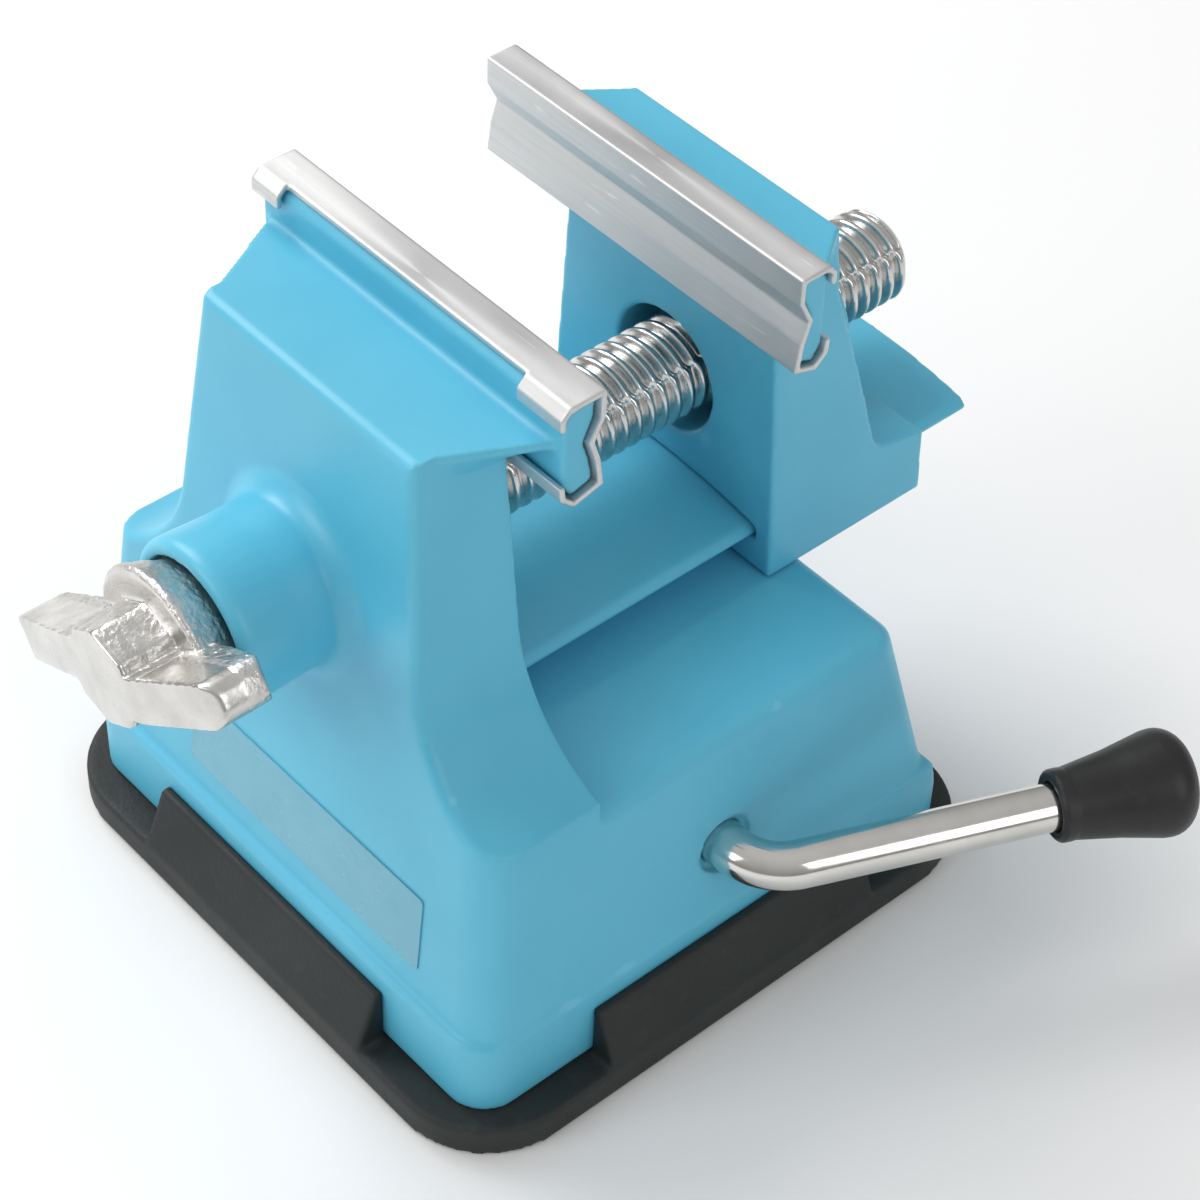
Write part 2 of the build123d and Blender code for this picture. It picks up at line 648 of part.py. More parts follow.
# ---------------------------------------------------------------- rubber foot
with BuildPart() as rubber_foot:
    with BuildSketch(Plane.XY):
        RectangleRounded(foot_w, foot_w, foot_r)
        Circle(foot_hole_r, mode=Mode.SUBTRACT)
    extrude(amount=foot_h)
    fillet(rubber_foot.faces().sort_by(Axis.Z)[-1].outer_wire().edges(), 0.5)
    tab_pts = [(foot_w / 2, foot_h - 0.6), (foot_w / 2, foot_h), (skirt_half + 1.25, tab_top), (skirt_half + 0.06, tab_top),
               (skirt_half + 0.06, foot_h - 0.6)]
    for k in range(4):
        a = math.radians(90 * k)
        with BuildSketch(Plane(origin=(-tab_half * math.sin(a), tab_half * math.cos(a), 0),
                               x_dir=(math.cos(a), math.sin(a), 0), z_dir=(math.sin(a), -math.cos(a), 0))):
            with BuildLine():
                Polyline(*tab_pts, close=True)
            make_face()
        extrude(amount=2 * tab_half)
    for sx in (-1, 1):
        for sy in (-1, 1):
            with BuildSketch(Plane.XY):
                with Locations((sx * 31.5, sy * 31.5)):
                    Circle(1.9)
            extrude(amount=foot_h, mode=Mode.SUBTRACT)
            with BuildSketch(Plane.XY):
                with Locations((sx * 31.5, sy * 31.5)):
                    Circle(3.7)
            extrude(amount=2.1, mode=Mode.SUBTRACT)

with BuildPart() as clamp_frame:
    with BuildSketch(Plane.XY.offset(foot_h)):
        RectangleRounded(70.4, 70.4, 2.8)
        Circle(foot_hole_r, mode=Mode.SUBTRACT)
    extrude(amount=3.0)
    with BuildSketch(Plane.XY.offset(foot_h + 2.0)):
        with Locations((33.8, 0), (-33.8, 0)):
            Rectangle(1.8, 8)
    extrude(amount=12.0 - foot_h - 2.0)
    with BuildSketch(Plane.XY.offset(foot_h + 2.0)):
        with Locations((0, 33.6), (0, -33.6)):
            Rectangle(8, 1.4)
    extrude(amount=4.2)
    with BuildSketch(Plane.XY.offset(9.2)):
        Rectangle(69.4, 8)
        Rectangle(8, 67.0)
        Circle(9.5)
    extrude(amount=2.8)
    with BuildSketch(Plane.XY.offset(9.2)):
        Circle(9.5)
    extrude(amount=3.7)
    with BuildSketch(Plane.XY.offset(8)):
        Circle(stem_r + 0.07)
    extrude(amount=8, mode=Mode.SUBTRACT)
    for sx in (-1, 1):
        for sy in (-1, 1):
            with BuildSketch(Plane.XY.offset(foot_h)):
                with Locations((sx * 31.5, sy * 31.5)):
                    Circle(1.7)
            extrude(amount=3.0, mode=Mode.SUBTRACT)

with BuildPart() as frame_screws:
    for sx in (-1, 1):
        for sy in (-1, 1):
            with BuildSketch(Plane.XY.offset(0.6)):
                with Locations((sx * 31.5, sy * 31.5)):
                    Circle(3.2)
            extrude(amount=1.5)
            with BuildSketch(Plane.XY.offset(2.1)):
                with Locations((sx * 31.5, sy * 31.5)):
                    Circle(1.5)
            extrude(amount=10.9)
            with BuildSketch(Plane.XY.offset(0.6)):
                with Locations((sx * 31.5, sy * 31.5)):
                    Rectangle(3.4, 0.8)
                    Rectangle(0.8, 3.4)
            extrude(amount=0.8, mode=Mode.SUBTRACT)

# blank label on the sloping front
slope = math.atan(env_df)
with BuildPart() as front_label:
    with BuildSketch(Plane(origin=(4.3, env_f(26.0) - 0.22, 26.0), x_dir=(1, 0, 0),
                           z_dir=(0, -math.cos(slope), math.sin(slope)))):
        RectangleRounded(44.6, 11.6, 0.6)
    extrude(amount=-0.2)

for p in (front_jaw_plate, rear_jaw_plate):
    print("plate", round(p.part.volume, 1), p.part.is_valid, p.part.bounding_box())

pieces = {
    "base_body": base_body, "moving_jaw": moving_jaw, "jaw_nut": jaw_nut,
    "front_jaw_plate": front_jaw_plate, "rear_jaw_plate": rear_jaw_plate,
    "wing_screw": wing_screw, "thrust_washer": thrust_washer, "rear_washer": rear_washer,
    "retaining_clip": retaining_clip, "lever_rod": lever_rod, "lever_grip": lever_grip,
    "lever_cam": lever_cam, "cam_pin": cam_pin, "lever_washer": lever_washer, "lever_clip": lever_clip,
    "plunger": plunger, "suction_pad": suction_pad, "pad_stud": pad_stud, "pad_washer": pad_washer,
    "rubber_foot": rubber_foot, "clamp_frame": clamp_frame, "frame_screws": frame_screws,
    "front_label": front_label,
}
for name, p in pieces.items():
    p.part.label = name
    export_step(p.part, f"parts/{name}.step")
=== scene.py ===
import math

import bmesh
import bpy
import numpy as np
from mathutils import Matrix, Vector


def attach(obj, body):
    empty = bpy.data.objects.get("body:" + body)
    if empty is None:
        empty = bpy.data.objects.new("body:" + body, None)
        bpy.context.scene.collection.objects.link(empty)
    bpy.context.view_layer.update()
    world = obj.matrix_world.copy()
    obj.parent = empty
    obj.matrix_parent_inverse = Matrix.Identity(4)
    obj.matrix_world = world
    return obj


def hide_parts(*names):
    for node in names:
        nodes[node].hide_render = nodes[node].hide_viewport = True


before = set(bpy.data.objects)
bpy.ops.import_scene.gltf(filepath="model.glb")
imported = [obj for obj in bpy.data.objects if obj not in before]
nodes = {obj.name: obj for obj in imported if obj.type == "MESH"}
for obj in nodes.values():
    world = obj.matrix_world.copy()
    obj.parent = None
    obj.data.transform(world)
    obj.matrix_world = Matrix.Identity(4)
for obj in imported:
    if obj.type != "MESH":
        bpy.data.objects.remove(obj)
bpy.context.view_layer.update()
scene = bpy.context.scene
MM = 0.001
SCREW_Z = 62.64


# ------------------------------------------------------------------ materials
class Mat:
    """A node material built up step by step."""

    def __init__(self, name):
        self.m = bpy.data.materials.new(name)
        self.m.use_nodes = True
        self.nt = self.m.node_tree
        self.nt.nodes.clear()
        out = self.node("ShaderNodeOutputMaterial")
        self.b = self.node("ShaderNodeBsdfPrincipled")
        self.link(self.b.outputs[0], out.inputs[0])
        self.coord = self.node("ShaderNodeTexCoord").outputs["Object"]

    def node(self, kind, **props):
        n = self.nt.nodes.new(kind)
        for k, v in props.items():
            setattr(n, k, v)
        return n

    def link(self, a, b):
        self.nt.links.new(a, b)

    def set(self, **values):
        for k, v in values.items():
            k = k.replace("_", " ")
            self.b.inputs[k].default_value = v
        return self

    def place(self, scale=(1, 1, 1), rot=(0, 0, 0), coord=None):
        n = self.node("ShaderNodeMapping")
        self.link(coord or self.coord, n.inputs["Vector"])
        n.inputs["Scale"].default_value = scale
        n.inputs["Rotation"].default_value = rot
        return n.outputs[0]

    def noise(self, size_mm, detail=3.0, rough=0.55, stretch=(1, 1, 1), distortion=0.0, coord=None):
        """Noise whose lumps are about size_mm across."""
        n = self.node("ShaderNodeTexNoise")
        self.link(self.place(stretch, coord=coord), n.inputs["Vector"])
        n.inputs["Scale"].default_value = 1000.0 / size_mm
        n.inputs["Detail"].default_value = detail
        n.inputs["Roughness"].default_value = rough
        n.inputs["Distortion"].default_value = distortion
        return n.outputs["Fac"]

    def cells(self, size_mm, feature="F1", stretch=(1, 1, 1), coord=None):
        n = self.node("ShaderNodeTexVoronoi", feature=feature)
        self.link(self.place(stretch, coord=coord), n.inputs["Vector"])
        n.inputs["Scale"].default_value = 1000.0 / size_mm
        return n.outputs["Distance"]

    def ramp(self, fac, stops):
        n = self.node("ShaderNodeValToRGB")
        self.link(fac, n.inputs[0])
        e = n.color_ramp.elements
        while len(e) < len(stops):
            e.new(0.5)
        for el, (p, c) in zip(e, stops):
            el.position = p
            el.color = (c, c, c, 1) if isinstance(c, (int, float)) else (*c, 1)
        return n.outputs[0]

    def spread(self, fac, lo, hi, from_lo=0.3, from_hi=0.7):
        n = self.node("ShaderNodeMapRange")
        self.link(fac, n.inputs[0])
        for i, v in enumerate((from_lo, from_hi, lo, hi)):
            n.inputs[i + 1].default_value = v
        return n.outputs[0]

    def mix(self, fac, a, b, blend="MIX"):
        n = self.node("ShaderNodeMix", data_type="RGBA", blend_type=blend)
        for sock, v in ((n.inputs[0], fac), (n.inputs[6], a), (n.inputs[7], b)):
            if hasattr(v, "node"):
                self.link(v, sock)
            elif isinstance(v, (int, float)):
                sock.default_value = v
            else:
                sock.default_value = (*v, 1)
        return n.outputs[2]

    def math(self, op, a, b=None):
        n = self.node("ShaderNodeMath", operation=op)
        for sock, v in ((n.inputs[0], a), (n.inputs[1], b)):
            if v is None:
                continue
            if hasattr(v, "node"):
                self.link(v, sock)
            else:
                sock.default_value = v
        return n.outputs[0]

    def bump(self, *heights):
        """Each height is (socket, strength, distance in mm)."""
        last = None
        for h, strength, dist in heights:
            n = self.node("ShaderNodeBump")
            n.inputs["Strength"].default_value = strength
            n.inputs["Distance"].default_value = dist * MM
            self.link(h, n.inputs["Height"])
            if last:
                self.link(last, n.inputs["Normal"])
            last = n.outputs[0]
        self.link(last, self.b.inputs["Normal"])
        return self

    def attr(self, name):
        return self.node("ShaderNodeAttribute", attribute_name=name).outputs["Fac"]

    def edge(self, lo=0.50, hi=0.56):
        """Convex edges, from the mesh's own curvature."""
        g = self.node("ShaderNodeNewGeometry").outputs["Pointiness"]
        return self.spread(g, 0.0, 1.0, lo, hi)


def blue_plastic():
    m = Mat("blue_plastic")
    m.set(IOR=1.5)
    large = m.noise(38, 2.0)
    cloud = m.noise(9, 4.0, 0.6)
    colour = m.mix(m.spread(large, 0.0, 1.0), (0.088, 0.455, 0.645), (0.108, 0.505, 0.70))
    colour = m.mix(m.spread(cloud, 0.0, 0.22), colour, (0.135, 0.55, 0.74))
    # paler convex edges, from pointiness: partly wear, partly a painted edge highlight
    colour = m.mix(m.math("MULTIPLY", m.edge(0.52, 0.60), 0.35), colour, (0.22, 0.62, 0.79))
    scuff = m.ramp(m.noise(2.2, 6.0, 0.7, (1, 1, 3.5)), [(0.66, 0.0), (0.80, 1.0)])
    colour = m.mix(m.math("MULTIPLY", scuff, 0.16), colour, (0.30, 0.66, 0.80))
    m.link(colour, m.b.inputs["Base Color"])
    rough = m.mix(m.spread(m.noise(14, 5.0, 0.65), 0.0, 1.0), (0.33, 0.33, 0.33), (0.45, 0.45, 0.45))
    rough = m.mix(m.math("MULTIPLY", scuff, 0.5), rough, (0.6, 0.6, 0.6))
    m.link(rough, m.b.inputs["Roughness"])
    m.bump((m.noise(22, 2.0), 0.35, 0.12), (m.noise(0.42, 2.0, 0.5), 0.12, 0.03), (scuff, 0.1, 0.02))
    return m.m


def nickel_casting():
    """Bright plating over a rough casting; the attribute cast says how rough."""
    m = Mat("nickel_casting")
    m.set(Metallic=1.0)
    cast = m.attr("cast")
    tone = m.mix(m.spread(m.noise(5, 4.0), 0.0, 1.0), (0.60, 0.585, 0.56), (0.74, 0.725, 0.70))
    pit = m.ramp(m.cells(0.75), [(0.0, 0.0), (0.22, 1.0)])
    dark = m.math("MULTIPLY", m.math("SUBTRACT", 1.0, pit), cast)
    tone = m.mix(m.math("MULTIPLY", dark, 0.7), tone, (0.28, 0.26, 0.24))
    m.link(tone, m.b.inputs["Base Color"])
    smooth = m.spread(m.noise(3.2, 5.0, 0.6), 0.16, 0.34)
    rough = m.math("ADD", smooth, m.math("MULTIPLY", cast, 0.10))
    m.link(rough, m.b.inputs["Roughness"])
    grain = m.math("MULTIPLY", m.noise(0.75, 3.0, 0.6), cast)
    m.bump((m.noise(5.5, 2.0), 0.25, 0.12), (grain, 0.8, 0.22), (m.noise(0.6, 3.0), 0.10, 0.02))
    return m.m


def thread_plating():
    m = Mat("thread_plating")
    m.set(Metallic=1.0)
    tone = m.mix(m.spread(m.noise(2.6, 4.0, 0.6), 0.0, 1.0), (0.60, 0.59, 0.57), (0.74, 0.73, 0.71))
    # painted shade: the thread roots, where pointiness is low, are darkened toward a dark grey
    tone = m.mix(m.spread(m.edge(0.40, 0.5), 0.45, 0.0, 0.0, 1.0), tone, (0.22, 0.21, 0.20))
    m.link(tone, m.b.inputs["Base Color"])
    m.link(m.spread(m.noise(1.6, 4.0, 0.6), 0.16, 0.30), m.b.inputs["Roughness"])
    m.bump((m.noise(1.4, 3.0, 0.6), 0.25, 0.06), (m.noise(0.4, 2.0), 0.1, 0.015))
    return m.m


def jaw_aluminium():
    m = Mat("jaw_aluminium")
    m.set(Metallic=1.0, Anisotropic=0.35)
    rolled = m.noise(0.35, 4.0, 0.6, (0.02, 1, 1))
    haze = m.noise(16, 3.0, 0.55, (0.5, 1, 1), 0.6)
    tone = m.mix(m.spread(haze, 0.0, 1.0), (0.62, 0.625, 0.62), (0.76, 0.76, 0.755))
    tone = m.mix(m.spread(rolled, 0.0, 0.25), tone, (0.54, 0.54, 0.54))
    scratch = m.ramp(m.noise(0.5, 2.0, 0.5, (0.05, 1, 0.35), 0.3), [(0.69, 0.0), (0.73, 1.0)])
    tone = m.mix(m.math("MULTIPLY", scratch, 0.5), tone, (0.92, 0.92, 0.92))
    m.link(tone, m.b.inputs["Base Color"])
    m.link(m.math("ADD", m.spread(haze, 0.40, 0.55), m.spread(rolled, 0.0, 0.08)), m.b.inputs["Roughness"])
    m.bump((m.noise(7, 2.0, 0.5, (0.6, 1, 1)), 0.3, 0.12), (rolled, 0.10, 0.02), (scratch, 0.15, 0.02))
    return m.m


def lever_chrome():
    m = Mat("lever_chrome")
    m.set(Metallic=1.0)
    tone = m.mix(m.spread(m.noise(7, 3.0), 0.0, 1.0), (0.66, 0.645, 0.61), (0.75, 0.735, 0.70))
    m.link(tone, m.b.inputs["Base Color"])
    m.link(m.spread(m.noise(2.5, 5.0, 0.65), 0.09, 0.20), m.b.inputs["Roughness"])
    line = m.noise(0.5, 3.0, 0.6, (0.08, 0.08, 1))
    ring = m.ramp(m.noise(4.0, 1.0, 0.4, (1, 1, 0.05), 0.1), [(0.70, 0.0), (0.72, 1.0)])
    m.bump((m.noise(6, 2.0), 0.15, 0.10), (line, 0.06, 0.01), (ring, 0.10, 0.02))
    return m.m


def rubber(name, base, rough_lo, rough_hi, grain_mm, depth_mm, dust=0.06):
    m = Mat(name)
    m.set(IOR=1.45)
    cloud = m.noise(12, 4.0, 0.6)
    colour = m.mix(m.spread(cloud, 0.0, 1.0), tuple(0.8 * c for c in base), tuple(1.25 * c for c in base))
    powder = m.ramp(m.noise(3.0, 6.0, 0.7), [(0.56, 0.0), (0.78, 1.0)])
    colour = m.mix(m.math("MULTIPLY", powder, dust), colour, (0.35, 0.35, 0.34))
    m.link(colour, m.b.inputs["Base Color"])
    m.link(m.spread(m.noise(6, 4.0, 0.6), rough_lo, rough_hi), m.b.inputs["Roughness"])
    cells = m.cells(grain_mm)
    m.bump((m.noise(9, 2.0), 0.2, 0.15), (cells, 0.55, depth_mm), (m.noise(grain_mm * 0.4, 2.0), 0.25, depth_mm * 0.5))
    return m.m


def moulded(name, a, b, rough_lo=0.4, rough_hi=0.55):
    m = Mat(name)
    m.link(m.mix(m.spread(m.noise(11, 4.0), 0.0, 1.0), a, b), m.b.inputs["Base Color"])
    m.link(m.spread(m.noise(5, 4.0, 0.6), rough_lo, rough_hi), m.b.inputs["Roughness"])
    m.bump((m.noise(8, 2.0), 0.2, 0.1), (m.noise(0.5, 2.0), 0.15, 0.03))
    return m.m


def plain_steel(name, a, b, rough_lo, rough_hi, metal=1.0):
    m = Mat(name)
    m.set(Metallic=metal)
    spin = m.noise(0.6, 4.0, 0.6)
    m.link(m.mix(m.spread(m.noise(4, 5.0, 0.6), 0.0, 1.0), a, b), m.b.inputs["Base Color"])
    m.link(m.math("ADD", m.spread(m.noise(2, 5.0), rough_lo, rough_hi), m.spread(spin, 0.0, 0.06)), m.b.inputs["Roughness"])
    m.bump((m.noise(3, 3.0), 0.2, 0.05), (spin, 0.15, 0.02))
    return m.m


def label_film():
    m = Mat("label_film")
    m.set(IOR=1.48, Alpha=1.0)
    edge = m.noise(4, 4.0)
    m.link(m.mix(m.spread(edge, 0.0, 1.0), (0.145, 0.42, 0.54), (0.165, 0.45, 0.57)), m.b.inputs["Base Color"])
    m.link(m.spread(m.noise(10, 4.0), 0.22, 0.34), m.b.inputs["Roughness"])
    m.bump((m.noise(14, 2.0), 0.15, 0.05), (m.noise(1.2, 2.0), 0.05, 0.01))
    return m.m


blue = blue_plastic()
nickel = nickel_casting()
thread_m = thread_plating()
alu = jaw_aluminium()
chrome = lever_chrome()
foot_rubber = rubber("foot_rubber", (0.0165, 0.0195, 0.0190), 0.50, 0.66, 0.55, 0.05, 0.05)
vinyl = rubber("grip_vinyl", (0.014, 0.014, 0.0145), 0.36, 0.50, 0.35, 0.018, 0.03)
nylon = moulded("black_nylon", (0.022, 0.022, 0.023), (0.034, 0.034, 0.035))
acetal = moulded("white_acetal", (0.72, 0.71, 0.66), (0.80, 0.79, 0.75), 0.3, 0.42)
zinc = plain_steel("zinc_plating", (0.56, 0.57, 0.58), (0.70, 0.71, 0.71), 0.25, 0.4)
dark_steel = plain_steel("dark_spring_steel", (0.10, 0.10, 0.105), (0.20, 0.20, 0.205), 0.32, 0.5)
cast_zinc = plain_steel("plain_casting", (0.42, 0.42, 0.41), (0.58, 0.58, 0.57), 0.38, 0.55)
label = label_film()

finish = {
    "base_body": blue, "moving_jaw": blue, "jaw_nut": cast_zinc, "front_jaw_plate": alu, "rear_jaw_plate": alu,
    "wing_screw": nickel, "thrust_washer": nylon, "rear_washer": zinc, "retaining_clip": dark_steel,
    "lever_rod": chrome, "lever_grip": vinyl, "lever_cam": cast_zinc, "cam_pin": dark_steel,
    "lever_washer": zinc, "lever_clip": dark_steel, "plunger": acetal, "suction_pad": foot_rubber,
    "pad_stud": zinc, "pad_washer": zinc, "rubber_foot": foot_rubber, "clamp_frame": nylon,
    "frame_screws": zinc, "front_label": label,
}
for name, node in nodes.items():
    node.data.materials.clear()
    node.data.materials.append(finish[name])


# ------------------------------------------------------------------ mesh helpers
def add_object(name, mesh, material):
    o = bpy.data.objects.new(name, mesh)
    scene.collection.objects.link(o)
    mesh.materials.clear()
    mesh.materials.append(material)
    return o


def from_arrays(name, verts, faces, material):
    me = bpy.data.meshes.new(name)
    me.from_pydata([tuple(v) for v in verts], [], [tuple(f) for f in faces])
    me.update()
    bm = bmesh.new()
    bm.from_mesh(me)
    bmesh.ops.recalc_face_normals(bm, faces=bm.faces)
    bm.to_mesh(me)
    bm.free()
    me.shade_smooth()
    return add_object(name, me, material)


def welded(node):
    """A copy of a CAD node's mesh with its split corners joined."""
    me = nodes[node].data.copy()
    bm = bmesh.new()
    bm.from_mesh(me)
    bmesh.ops.remove_doubles(bm, verts=bm.verts, dist=2e-6)
    bm.to_mesh(me)
    bm.free()
    me.attributes.remove(me.attributes["custom_normal"]) if "custom_normal" in me.attributes else None
    return me


def bake_modifiers(o):
    dg = bpy.context.evaluated_depsgraph_get()
    dg.update()
    me = bpy.data.meshes.new_from_object(o.evaluated_get(dg))
    o.modifiers.clear()
    old = o.data
    o.data = me
    bpy.data.meshes.remove(old)
    return o


def softened(name, mesh, material, voxel, passes, keep=None, weight=True):
    """The same shape as one even mesh whose edges have a small radius."""
    o = add_object(name, mesh, material)
    r = o.modifiers.new("even", "REMESH")
    r.mode, r.voxel_size, r.adaptivity = "VOXEL", voxel * MM, 0.0
    if passes:
        s = o.modifiers.new("round", "SMOOTH")
        s.factor, s.iterations = 0.5, passes
    bake_modifiers(o)
    if keep:
        d = o.modifiers.new("lighter", "DECIMATE")
        d.ratio = keep
        bake_modifiers(o)
    o.data.materials.clear()
    o.data.materials.append(material)
    o.data.shade_smooth()
    if weight:
        w = o.modifiers.new("normals", "WEIGHTED_NORMAL")
        w.weight, w.keep_sharp = 60, True
    return o


# ------------------------------------------------------------------ body and jaw mouldings
base = softened("base_moulding", welded("base_body"), blue, 0.40, 3, 0.30)
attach(base, "base")
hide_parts("base_body")

jaw = softened("jaw_moulding", welded("moving_jaw"), blue, 0.32, 3, 0.35)
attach(jaw, "jaw")
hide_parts("moving_jaw")

for node, name, body in (("front_jaw_plate", "front_jaw_strip", "base"), ("rear_jaw_plate", "rear_jaw_strip", "jaw")):
    strip = softened(name, welded(node), alu, 0.17, 5, 0.40)
    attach(strip, body)
    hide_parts(node)

foot = softened("foot_moulding", welded("rubber_foot"), foot_rubber, 0.40, 3, 0.45)
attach(foot, "base")
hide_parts("rubber_foot")

# ------------------------------------------------------------------ wing screw
CUT = -17.15      # the thread starts behind the retaining clip
me = welded("wing_screw")
bm = bmesh.new()
bm.from_mesh(me)
cut = bmesh.ops.bisect_plane(
    bm, geom=bm.verts[:] + bm.edges[:] + bm.faces[:], dist=1e-7,
    plane_co=(0, CUT * MM, 0), plane_no=(0, 1, 0), clear_outer=True,
)
bmesh.ops.holes_fill(bm, edges=[e for e in cut["geom_cut"] if isinstance(e, bmesh.types.BMEdge)], sides=0)
bm.to_mesh(me)
bm.free()
handle = softened("wing_handle", me, nickel, 0.24, 14, None, weight=False)


def lumps(p, size, seed):
    """Smooth value noise on points p in mm, with lumps of that size."""
    rng = np.random.RandomState(seed)
    grid = rng.rand(32, 32, 32)
    q = p / size + 100.0
    i = np.floor(q).astype(int)
    f = q - i
    f = f * f * (3 - 2 * f)
    total = 0.0
    for dx in (0, 1):
        for dy in (0, 1):
            for dz in (0, 1):
                w = (
                    (f[:, 0] if dx else 1 - f[:, 0])
                    * (f[:, 1] if dy else 1 - f[:, 1])
                    * (f[:, 2] if dz else 1 - f[:, 2])
                )
                total = total + w * grid[(i[:, 0] + dx) % 32, (i[:, 1] + dy) % 32, (i[:, 2] + dz) % 32]
    return total * 2 - 1


def arrays(me):
    n = len(me.vertices)
    co = np.zeros(n * 3, np.float32)
    me.vertices.foreach_get("co", co)
    no = np.zeros(n * 3, np.float32)
    me.vertices.foreach_get("normal", no)
    return co.reshape(-1, 3) / MM, no.reshape(-1, 3)


def put(me, co):
    me.vertices.foreach_set("co", (co * MM).astype(np.float32).ravel())
    me.update()


def set_attribute(me, name, values):
    a = me.attributes.get(name) or me.attributes.new(name, "FLOAT", "POINT")
    a.data.foreach_set("value", values.astype(np.float32))


co, no = arrays(handle.data)
rad = np.hypot(co[:, 0], co[:, 2] - SCREW_Z)
band = np.clip((rad - 7.6) / 1.2, 0, 1) * np.clip((co[:, 1] + 54.2) / 0.6, 0, 1) * (np.abs(no[:, 1]) < 0.75)
neck = (rad < 8.2) * (co[:, 1] > -59.8) * (co[:, 1] < -53.0) * (np.abs(no[:, 1]) < 0.5) * 0.8
wing = (rad > 8.2) * (co[:, 1] < -49.0) * 0.12
cast = np.clip(np.maximum(np.maximum(band, neck), wing), 0, 1)
free = (co[:, 1] < -48.8).astype(float)          # nothing stands out where it runs in the washer
shift = lumps(co, 4.5, 3) * 0.05 + lumps(co, 0.9, 5) * 0.07 * cast + lumps(co, 0.45, 8) * 0.045 * cast
put(handle.data, co + no * (shift * free)[:, None])
set_attribute(handle.data, "cast", cast)
handle.data.materials.clear()
handle.data.materials.append(nickel)
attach(handle, "screw")
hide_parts("wing_screw")

# thread: a cast one, whose two halves don't quite meet
PITCH, R_OUT, DEPTH = 2.1, 6.33, 1.05
Y0, Y1 = CUT, 58.55
around, rows = 120, int((Y1 - Y0) / (PITCH / 12)) + 1
th = np.linspace(0, 2 * math.pi, around, endpoint=False)
ys = np.linspace(Y0, Y1, rows)
T, Y = np.meshgrid(th, ys)
# the mould parts on one plane along the axis; each half's thread is a little displaced
part = np.sin(T - math.radians(38.0))
half = np.tanh(part / 0.05)
phase = (Y + half * 0.30) / PITCH + T / (2 * math.pi)
tri = np.abs(2 * (phase - np.floor(phase)) - 1)           # 0 at the root, 1 at the crest
wave = np.clip(tri * 1.2, 0, 1)
wave = wave * wave * (3 - 2 * wave)
seam = np.exp(-((part / 0.075) ** 2))
wave = wave * (1 - 0.45 * seam) + 0.30 * seam
run_out = np.clip((Y1 - Y) / 2.2, 0, 1)
start = np.clip((Y - Y0) / 1.4, 0, 1)
R = R_OUT - DEPTH * (1 - wave * start)
pts = np.stack([R * np.cos(T), Y, R * np.sin(T)], -1).reshape(-1, 3)
R = R + (lumps(pts, 1.6, 11) * 0.035 + lumps(pts, 0.7, 12) * 0.015).reshape(R.shape) - 0.03
R = np.minimum(R, R_OUT - 1.5 * np.clip(1 - (Y1 - Y) / 1.5, 0, 1))
X, Z = R * np.cos(T), R * np.sin(T) + SCREW_Z
verts = np.stack([X, Y, Z], -1).reshape(-1, 3)
faces = []
for j in range(rows - 1):
    for i in range(around):
        a, b = j * around + i, j * around + (i + 1) % around
        faces.append((a, b, b + around, a + around))
ends = len(verts)
verts = np.vstack([verts, [(0, Y0, SCREW_Z), (0, Y1 - 0.15, SCREW_Z)]])
for i in range(around):
    faces.append((ends, (i + 1) % around, i))
    a = (rows - 1) * around
    faces.append((ends + 1, a + i, a + (i + 1) % around))
thread = from_arrays("screw_thread", verts * MM, faces, thread_m)
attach(thread, "screw")
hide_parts("wing_screw")


# ------------------------------------------------------------------ lathed pieces
def lathe(name, profile, origin, axis, side, material, steps=96):
    """profile is (along the axis, radius) in mm, closed on the axis at both ends."""
    o, a, s = Vector(origin), Vector(axis).normalized(), Vector(side).normalized()
    t = a.cross(s)
    verts, faces, rings = [], [], []
    for u, r in profile:
        if r < 1e-6:
            rings.append([len(verts)])
            verts.append((o + a * u) * MM)
        else:
            rings.append(list(range(len(verts), len(verts) + steps)))
            for k in range(steps):
                w = 2 * math.pi * k / steps
                verts.append((o + a * u + (s * math.cos(w) + t * math.sin(w)) * r) * MM)
    for p, q in zip(rings, rings[1:]):
        for k in range(steps):
            k2 = (k + 1) % steps
            if len(p) == 1:
                faces.append((p[0], q[k], q[k2]))
            elif len(q) == 1:
                faces.append((p[k], q[0], p[k2]))
            else:
                faces.append((p[k], q[k], q[k2], p[k2]))
    return from_arrays(name, verts, faces, material)


def rounded(profile, r, n=5):
    """The same profile with its inner corners rounded by about r mm."""
    out = [profile[0]]
    for p, c, q in zip(profile, profile[1:], profile[2:]):
        p, c, q = Vector(p), Vector(c), Vector(q)
        d1, d2 = (p - c), (q - c)
        k = min(r, d1.length * 0.45, d2.length * 0.45)
        s, e = c + d1.normalized() * k, c + d2.normalized() * k
        for i in range(n + 1):
            f = i / n
            out.append(tuple((1 - f) ** 2 * s + 2 * f * (1 - f) * c + f * f * e))
    out.append(profile[-1])
    return out


